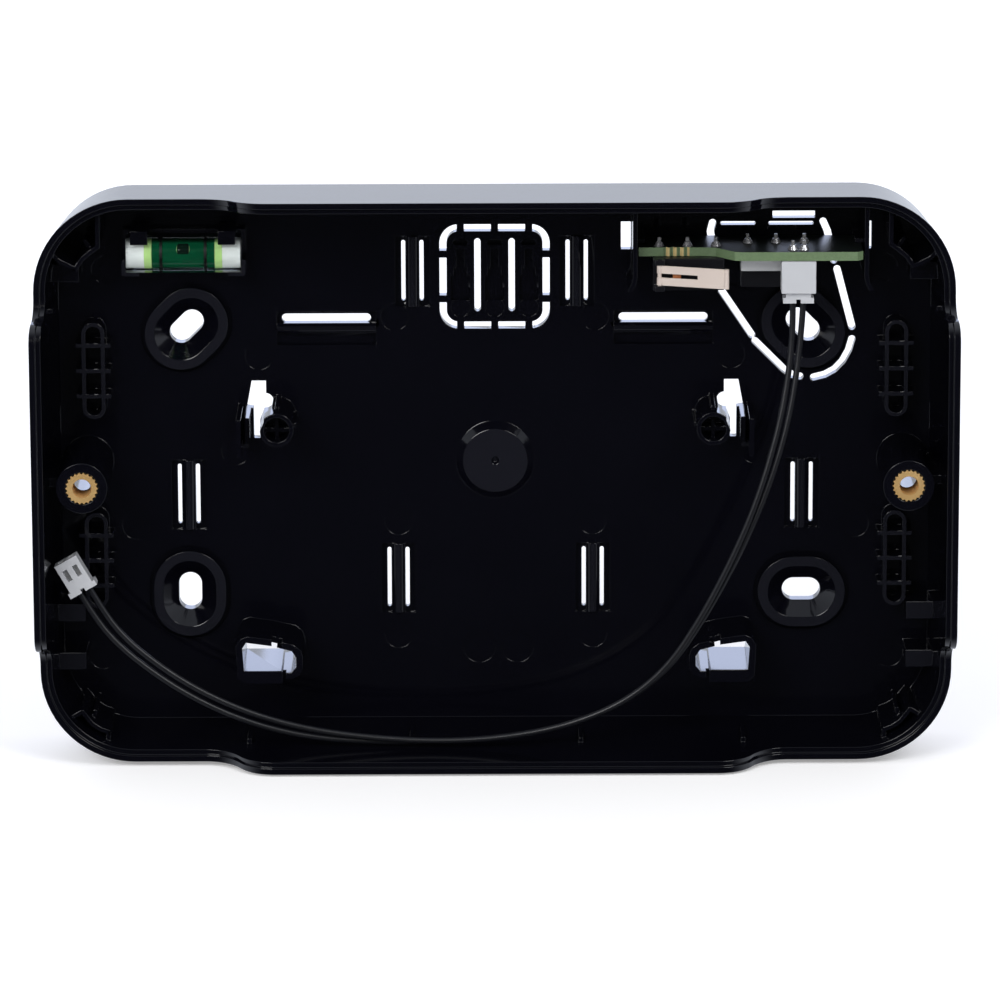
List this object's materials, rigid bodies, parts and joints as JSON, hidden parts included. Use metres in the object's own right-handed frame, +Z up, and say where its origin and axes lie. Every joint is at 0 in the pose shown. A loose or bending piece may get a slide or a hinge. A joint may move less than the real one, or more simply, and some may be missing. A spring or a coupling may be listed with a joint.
{
  "type": "alarm keypad panel housing",
  "caption": "Rear housing of a wall-mounted alarm keypad panel: drafted tray with screw seats, knock-out, hook towers, inserts, spirit level, tamper board and a two-wire lead.",
  "frame": {"origin": "on the wall plane, at the centre of the panel's outline", "axes": "+X to the right as seen from the front, +Z up as it hangs, +Y into the wall; the open front faces -Y"},
  "size_m": [0.166, 0.0292, 0.105],
  "materials": {
    "housing_black": "moulded ABS, satin gloss",
    "brass": "machined and knurled",
    "clear_acrylic": "clear, polished",
    "ring_black": "printed ring",
    "level_green": "green liquid",
    "bubble_air": "air bubble",
    "board": "black solder mask over green laminate",
    "switch_black": "moulded",
    "switch_grey": "moulded",
    "plunger_orange": "moulded",
    "lever_nickel": "nickel plated strip",
    "contact_metal": "tinned",
    "solder": "bright solder",
    "nylon_white": "natural nylon",
    "wire_black": "PVC insulation"
  },
  "bodies": {
    "housing": {"board_header": "nylon_white", "board_plug": "nylon_white", "board_plug_contacts": "contact_metal", "brass_insert_left": "brass", "brass_insert_right": "brass", "cover_switch_case": "switch_black", "cover_switch_contact": "contact_metal", "cover_switch_pins": "contact_metal", "free_plug": "nylon_white", "free_plug_contacts": "contact_metal", "header_pins": "contact_metal", "rear_housing": "housing_black", "solder_joints": "solder", "tamper_board": "board", "vial_liquid": "level_green", "vial_plug_left": "clear_acrylic", "vial_plug_right": "clear_acrylic", "vial_ring_left": "ring_black", "vial_ring_right": "ring_black", "vial_tube": "clear_acrylic", "wall_switch_base": "switch_black", "wall_switch_case": "switch_grey", "wall_switch_contact": "contact_metal", "wall_switch_pins": "contact_metal", "wire_left": "wire_black", "wire_right": "wire_black"},
    "cover_lever": {"cover_switch_lever": "lever_nickel"},
    "cover_plunger": {"cover_switch_plunger": "plunger_orange"},
    "wall_plunger": {"wall_switch_plunger": "plunger_orange"},
    "bubble": {"vial_bubble": "bubble_air"}
  },
  "joints": [
    {"name": "cover_lever_hinge", "type": "hinge", "parent": "housing", "child": "cover_lever", "pos_m": [0.0296, -0.0172, 0.0369], "axis": [0, 0, 1], "range_deg": [0, 12], "stiffness_Nm_per_rad": 0.02},
    {"name": "cover_plunger_slide", "type": "slide", "parent": "housing", "child": "cover_plunger", "axis": [0, 1, 0], "range_m": [0, 0.0006]},
    {"name": "wall_plunger_slide", "type": "slide", "parent": "housing", "child": "wall_plunger", "axis": [0, -1, 0], "range_m": [0, 0.0016], "stiffness_N_per_m": 300},
    {"name": "bubble_slide", "type": "slide", "parent": "housing", "child": "bubble", "axis": [1, 0, 0], "range_m": [-0.003, 0.003]}
  ],
  "couplings": [
    {"joint": "cover_plunger_slide", "follows": "cover_lever_hinge", "m_per_rad": 0.00286}
  ]
}
